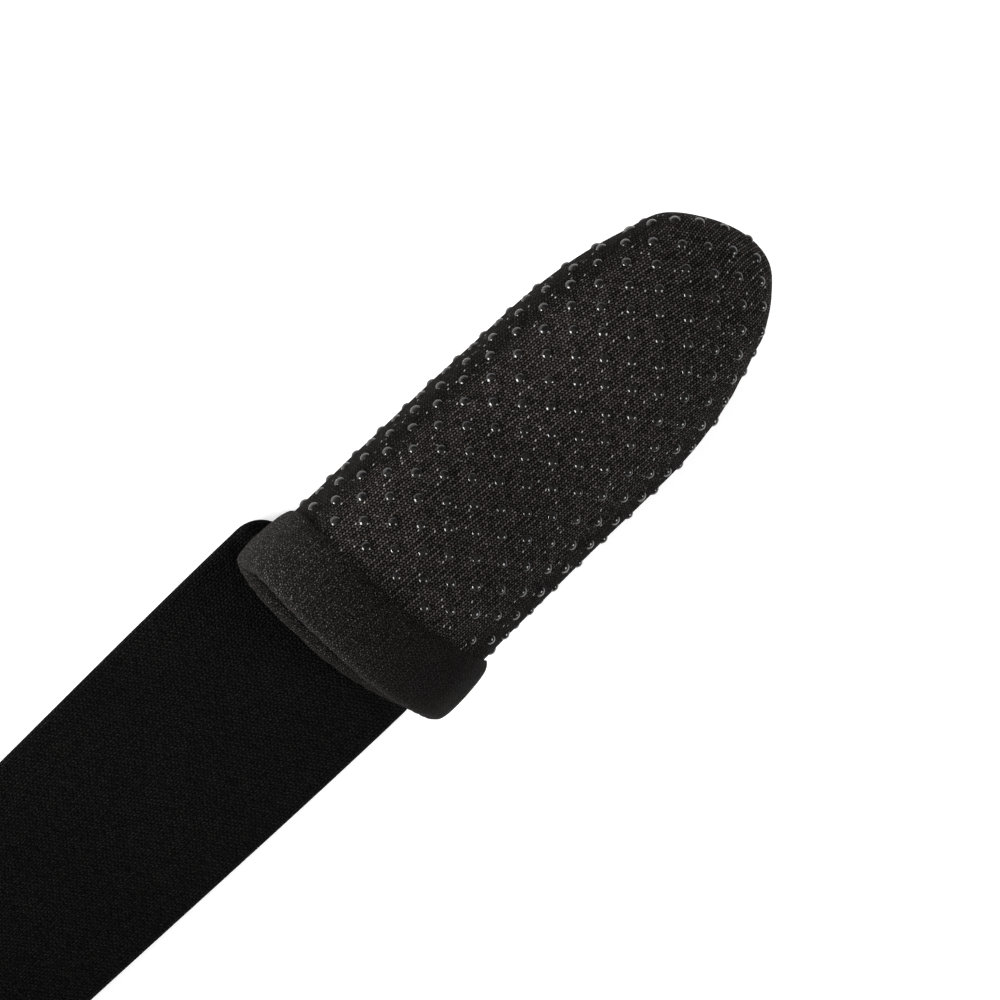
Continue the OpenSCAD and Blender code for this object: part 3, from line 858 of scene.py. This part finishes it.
def knit_material():
    """Black ribbed knit: stitch faces painted lit and gaps painted shade, painted shade beside the fold
    and the seam, and a rare stitch with a painted glint.
    """
    yarn_shade, yarn_lit, painted_glint = grey(0.0003), (0.112, 0.097, 0.091), (0.36, 0.34, 0.33)
    fold_side, seam_side, painted_shade_least = (4.0, 7.5), (31.0, 26.0), 0.3
    glint_from, yarn_relief, stitch_relief = 0.97, 0.03, 0.07
    yarn_variety, yarn_sharpness, glint_sharpness = 0.75, 1.4, 3.0
    yarn_roughness, glint_smoothing = 0.78, -0.3
    material, tree, shader = new_material("ribbed_knit")
    knit = use_group(tree, KNIT_STITCHES, flat_cloth(tree))
    grain = use_group(tree, CLOTH_GRAIN, millimetres(tree), Size=0.16)
    uneven = calc(tree, "MULTIPLY_ADD", knit["Chance"], yarn_variety, 1 - yarn_variety)
    lit = calc(tree, "MULTIPLY", calc(tree, "POWER", knit["Face"], yarn_sharpness), uneven)
    from_fold = calc(tree, "ABSOLUTE", split(tree, flat_cloth(tree))["X"])
    # Painted shade: the knit's colour darkens towards the fold and towards the seam, down to 0.3 of its
    # light
    for dim, clear in (fold_side, seam_side):
        painted_shade = faded(tree, from_fold, dim, clear, painted_shade_least, "SMOOTHSTEP")
        lit = calc(tree, "MULTIPLY", lit, painted_shade)
    body = mix_colour(tree, lit, yarn_shade, yarn_lit)
    # Painted highlight: a rare stitch is mixed to a light glint colour; its lower roughness is real
    rare = calc(tree, "GREATER_THAN", knit["Chance"], glint_from)
    glint = calc(tree, "MULTIPLY", rare, calc(tree, "POWER", knit["Face"], glint_sharpness))
    rough = calc(tree, "MULTIPLY_ADD", glint, glint_smoothing, yarn_roughness)
    feed(tree, shader.inputs["Base Color"], mix_colour(tree, glint, body, painted_glint))
    feed(tree, shader.inputs["Roughness"], rough)
    shader.inputs["Specular IOR Level"].default_value = 0.02
    yarn = bump(tree, grain["Height"], yarn_relief)
    feed(tree, shader.inputs["Normal"], bump(tree, knit["Height"], stitch_relief, yarn))
    return material


def silicone_material():
    """Glossy black domes, barely uneven."""
    uneven_scale, uneven_relief, rough_spread, least_rough = 2.2, 0.04, 0.06, 0.04
    material, tree, shader = new_material("black_silicone")
    uneven = noise_at(tree, millimetres(tree), uneven_scale)
    grain = use_group(tree, CLOTH_GRAIN, millimetres(tree), Size=0.34)
    tone = mix_colour(tree, grain["Tone"], grey(0.001), (0.02, 0.018, 0.017))
    feed(tree, shader.inputs["Base Color"], tone)
    rough = calc(tree, "MULTIPLY_ADD", uneven, rough_spread, least_rough)
    feed(tree, shader.inputs["Roughness"], rough)
    shader.inputs["IOR"].default_value = 1.4
    feed(tree, shader.inputs["Normal"], bump(tree, uneven, uneven_relief))
    return material


def cloth_material(name, dark, light, size, depth, lint=None, rough=0.86, sheen=0.0, weave=None,
                   painted_light_fade=None):
    """Plain cloth with grain of a size and depth in millimetres. lint is the colour of its flecks,
    and a pair of places across, where the flecks begin and where they are full, fades them in; that
    fade is painted light, with lighter flecks where more light falls. weave gives the pitches of
    its ribs across and along, their depth, and how much they show."""
    grain_smoothing = -0.12
    material, tree, shader = new_material(name)
    grain = use_group(tree, CLOTH_GRAIN, millimetres(tree), Size=size)
    colour = mix_colour(tree, grain["Tone"], dark, light)
    normal = bump(tree, grain["Height"], depth)
    if lint:
        fleck = grain["Fleck"]
        # Painted light: the lint flecks fade in across the piece and are fullest on the side where more
        # light falls
        if painted_light_fade:
            fleck = calc(tree, "MULTIPLY", fleck, faded(tree, split(tree, millimetres(tree))["X"], *painted_light_fade))
        colour = mix_colour(tree, fleck, colour, lint)
    if weave:
        across, along, rib_depth, shown = weave
        ribs = use_group(tree, KNIT_STITCHES, flat_cloth(tree), Wale=across, Course=along, Lean=0.0)
        normal = bump(tree, ribs["Height"], rib_depth, normal)
        shade = calc(tree, "MULTIPLY_ADD", ribs["Face"], shown, 1 - shown)
        colour = mix_colour(tree, 1.0, colour, shade, "MULTIPLY")
    feed(tree, shader.inputs["Base Color"], colour)
    rough = calc(tree, "MULTIPLY_ADD", grain["Tone"], grain_smoothing, rough)
    feed(tree, shader.inputs["Roughness"], rough)
    shader.inputs["Specular IOR Level"].default_value = 0.05
    shader.inputs["Sheen Weight"].default_value = sheen
    shader.inputs["Sheen Roughness"].default_value = 0.6
    feed(tree, shader.inputs["Normal"], normal)
    return material


KNIT = knit_material()
SILICONE = silicone_material()
# The cuff's flecks are lint, and their fade out towards +X is painted light
CUFF_CLOTH = cloth_material("cuff_cloth", grey(0.0), (0.034, 0.0298, 0.028), 0.16, 0.2,
                            lint=(0.2, 0.18, 0.17), weave=(0.56, 0.42, 0.09, 0.85), painted_light_fade=(9.0, -12.0))
STRAP_CLOTH = cloth_material("strap_cloth", grey(0.0006), (0.016, 0.0152, 0.0147), 0.25, 0.06,
                             weave=(0.62, 0.5, 0.14, 0.95))
LOOP_PILE = cloth_material("loop_pile", grey(0.001), (0.02, 0.0196, 0.0194), 0.3, 0.3,
                           lint=(0.04, 0.039, 0.038), sheen=0.02)
HOOK_PILE = cloth_material("hook_pile", grey(0.002), grey(0.012), 0.3, 0.1, weave=(1.4, 1.1, 0.35, 0.75))
THREAD = cloth_material("sewing_thread", grey(0.005), grey(0.016), 0.12, 0.03, rough=0.62)


# The finished pieces, each in place of its own node
def dress(piece, material, slot, *nodes_replaced):
    piece.data.materials.clear()
    piece.data.materials.append(material)
    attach(piece, "root")
    if nodes_replaced:
        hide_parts(*nodes_replaced)


sleeve = knit_sleeve()
dress(sleeve, KNIT, "knit_fabric", "finger_sleeve")
dots = silicone_dots()
dress(dots, SILICONE, "silicone", "grip_dots")
cuff = cuff_band()
dress(cuff, CUFF_CLOTH, "cuff_fabric", "cuff")

# The strap's rows of stitches: two under the cuff and two at the edges of the wrist band
STRAP_ROWS = (1.6, 4.9, STRAP_LEN - 33.0, STRAP_LEN - 2.5)
strap = strip("hand_strap", strap_line, STRAP_ACROSS, STRAP_LEN, STRAP_W, STRAP_T, STRAP_CORNER,
              narrowing=lambda s: STRAP_WAIST * np.sin(np.pi * s / STRAP_LEN) ** 2,
              press=dip(STRAP_ROWS))
dress(strap, STRAP_CLOTH, "strap_fabric", "back_strap")

band_len = LAP_END - LAP_START
band_inner = band_line(LAP_START, 0.0)
band = strip("wrist_band_cloth", band_inner, BAND_ACROSS, band_len, BAND_W, BAND_T, BAND_CORNER)
dress(band, STRAP_CLOTH, "strap_fabric", "wrist_band")
tape_w = BAND_W - 2 * TAPE_MARGIN
loop_inner = band_line(LAP_START + TAPE_MARGIN, BAND_T + STITCH_GAP)
loop = strip("loop_tape_pile", loop_inner, BAND_ACROSS, LOOP_TAPE_LEN, tape_w, LOOP_TAPE_T, TAPE_CORNER)
dress(loop, LOOP_PILE, "loop_pile", "loop_tape")
hook_inner = band_line(LAP_END - TAPE_MARGIN - HOOK_LEN, -HOOK_TAPE_T - STITCH_GAP)
hook = strip("hook_tape_pile", hook_inner, BAND_ACROSS, HOOK_LEN, tape_w, HOOK_TAPE_T, TAPE_CORNER)
dress(hook, HOOK_PILE, "hook_pile", "hook_tape")

# Rows of stitches across the strap, then boxes of them on the band and the loop tape
STRAP_ROW_EDGE, THREAD_SINK = 2.5, 0.2
half_strap = STRAP_W / 2 - STRAP_ROW_EDGE
rows = []
for at in STRAP_ROWS:
    rows += on_strip(strap_line, STRAP_ACROSS, 0.0, -1, [(at, -half_strap), (at, half_strap)])
sunk = [0, 0, THREAD_SINK]
strap_thread = stitches("strap_stitches", [(a + sunk, b + sunk, n) for a, b, n in rows])
dress(strap_thread, THREAD, "strap_fabric")

HOOK_BOX_FROM, BAND_BOX_EDGE, STRAP_BOX_REACH = 30.0, 4.5, 11.0
TAPE_BOX_EDGE, BOX_INSET = 1.6, 1.5
half_band = BAND_W / 2 - BAND_BOX_EDGE
half_tape = BAND_W / 2 - TAPE_MARGIN - BOX_INSET
hook_box = box_path(band_len - HOOK_BOX_FROM, band_len - BAND_BOX_EDGE, half_band)
floor_s = LOOP_LEN - LAP_START
strap_box = box_path(floor_s - STRAP_BOX_REACH, floor_s + STRAP_BOX_REACH, half_band - BOX_INSET)
tape_box = box_path(TAPE_BOX_EDGE, LOOP_TAPE_LEN - TAPE_BOX_EDGE, half_tape)
rows = on_strip(band_inner, BAND_ACROSS, BAND_T, 1, hook_box)
rows += on_strip(band_inner, BAND_ACROSS, 0.0, -1, strap_box)
band_thread = stitches("band_stitches", rows)
dress(band_thread, THREAD, "strap_fabric")
tape_thread = stitches("tape_stitches", on_strip(loop_inner, BAND_ACROSS, LOOP_TAPE_T, 1, tape_box))
dress(tape_thread, THREAD, "loop_pile")

# The camera looks at the palm side, where the picture shows the tip at TIP_PX
PICTURE_PX, PX_MM, TIP_PX = 1000, 9.115, (753.1, 240.26)
TILT_ROUND, TILT_ALONG = math.radians(14.46), math.radians(7.34)
IMAGE_TURN = math.radians(0.846)
FINGER_WAY_PX, SIDE_WAY_PX = (0.714, -0.700), (0.700, 0.714)
AIM_X, CAMERA_FAR, SENSOR = 0.9, 900.0, 36.0
finger = np.array([0, 1, 0])
away = np.array([-math.sin(TILT_ROUND), 0, math.cos(TILT_ROUND)])
right_way = np.array([math.cos(TILT_ROUND), 0, math.sin(TILT_ROUND)])
finger_way = finger * math.cos(TILT_ALONG) + away * math.sin(TILT_ALONG)
to_camera = -finger * math.sin(TILT_ALONG) + away * math.cos(TILT_ALONG)


def image_turned(x, y):
    c, s = math.cos(IMAGE_TURN), math.sin(IMAGE_TURN)
    return np.array([x * c - y * s, x * s + y * c])


axis_px, side_px = image_turned(*FINGER_WAY_PX), image_turned(*SIDE_WAY_PX)
image_right = side_px[0] * right_way + axis_px[0] * finger_way
image_down = side_px[1] * right_way + axis_px[1] * finger_way
tip_point = np.array([AIM_X, TIP_Y, LOW_Z + (1 - PALM_SHARE) * TIP_DEPTH])
half_px = PICTURE_PX / 2
target = tip_point + ((half_px - TIP_PX[0]) * image_right + (half_px - TIP_PX[1]) * image_down) / PX_MM
lens = bpy.data.cameras.new("camera")
lens.sensor_width = SENSOR
lens.lens = SENSOR * CAMERA_FAR / (PICTURE_PX / PX_MM)
lens.clip_start, lens.clip_end = 0.05, 20.0
camera = bpy.data.objects.new("camera", lens)
bpy.context.scene.collection.objects.link(camera)
back = to_camera / np.linalg.norm(to_camera)
up = -image_down + back * (image_down @ back)
up /= np.linalg.norm(up)
right = np.cross(up, back)
turned = Matrix([[right[r], up[r], back[r]] for r in range(3)])
camera.matrix_world = Matrix.Translation(Vector((target + back * CAMERA_FAR) * MM)) @ turned.to_4x4()
bpy.context.scene.camera = camera


def soft_box(name, angle, sideways, distance, size, power):
    """A square lamp in metres and watts, turned away from the camera by the angle."""
    light = bpy.data.lights.new(name, "AREA")
    light.shape = "RECTANGLE"
    light.size, light.size_y = size, size
    light.energy = power
    lamp = bpy.data.objects.new(name, light)
    toward = math.cos(angle) * back + math.sin(angle) * sideways
    toward = toward / np.linalg.norm(toward)
    lamp.location = Vector(target * MM) + Vector(toward) * distance
    lamp.rotation_mode = "QUATERNION"
    lamp.rotation_quaternion = Vector(toward).to_track_quat("Z", "Y")
    bpy.context.scene.collection.objects.link(lamp)
    return lamp


SIDE_ANGLE, SIDE_DROP, SIDE_FAR = math.radians(69), math.radians(26), 1.1
for name, side, size, power in (("left_box", -1, 0.66, 51.0), ("right_box", 1, 0.42, 9.0)):
    sideways = math.cos(SIDE_DROP) * side * right - math.sin(SIDE_DROP) * up
    soft_box(name, SIDE_ANGLE, sideways, SIDE_FAR, size, power)
FILL_ANGLE, FILL_LEFT, FILL_FAR, FILL_SIZE, FILL_POWER = math.radians(52), 0.3, 1.5, 1.3, 15.0
sideways = up - FILL_LEFT * right
sideways = sideways / np.linalg.norm(sideways)
fill_box = soft_box("fill_box", FILL_ANGLE, sideways, FILL_FAR, FILL_SIZE, FILL_POWER)
fill_box.visible_glossy = False

WORLD_LEVEL, FLOOR_GLOW, FLOOR_SIZE, FLOOR_DROP = 0.18, 0.45, 6.0, 0.0002
WHITE = (1.0, 1.0, 1.0, 1.0)
world = bpy.data.worlds.new("studio")
bpy.context.scene.world = world
world.use_nodes = True
world.node_tree.nodes["Background"].inputs["Color"].default_value = WHITE
world.node_tree.nodes["Background"].inputs["Strength"].default_value = WORLD_LEVEL

bpy.ops.object.select_all(action="DESELECT")
bpy.ops.mesh.primitive_plane_add(size=FLOOR_SIZE, location=(0, 0, -FLOOR_DROP))
floor = bpy.context.object
floor.name = "floor"
floor_material, tree, shader = new_material("white_floor")
shader.inputs["Base Color"].default_value = (0.9, 0.9, 0.9, 1.0)
shader.inputs["Roughness"].default_value = 0.9
shader.inputs["Specular IOR Level"].default_value = 0.1
shader.inputs["Emission Color"].default_value = WHITE
path = tree.nodes.new("ShaderNodeLightPath")
seen = calc(tree, "ADD", path.outputs["Is Camera Ray"], path.outputs["Is Glossy Ray"])
feed(tree, shader.inputs["Emission Strength"], calc(tree, "MULTIPLY", seen, FLOOR_GLOW))
floor.data.materials.append(floor_material)

bpy.context.scene.view_settings.view_transform = "Standard"
bpy.context.view_layer.update()
